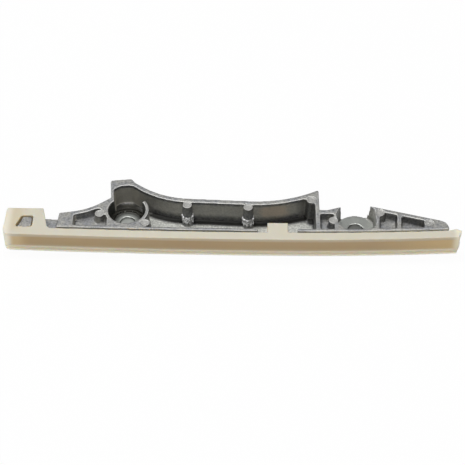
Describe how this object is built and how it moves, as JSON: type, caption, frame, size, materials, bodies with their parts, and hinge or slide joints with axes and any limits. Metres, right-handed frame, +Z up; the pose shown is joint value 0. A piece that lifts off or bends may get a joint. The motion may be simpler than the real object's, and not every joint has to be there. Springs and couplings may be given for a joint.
{
  "type": "timing chain guide",
  "caption": "Fixed guide for an engine's timing chain: a ribbed die-cast aluminium carrier with bolt seats, and a long curved polyamide slide shoe on its front.",
  "frame": {"origin": "centre of the bounding box in plan, on the carrier's flat back", "axes": "+X along the guide from the flap end to the nose, +Y from the chain towards the rear, +Z up from the flat back, along the bolts"},
  "size_m": [0.266, 0.0496, 0.017],
  "materials": {
    "carrier_casting": "as cast, dull grey",
    "slide_shoe": "natural moulded polyamide, satin"
  },
  "bodies": {
    "root": {"carrier_casting": "carrier_casting", "slide_shoe": "slide_shoe"}
  },
  "joints": []
}
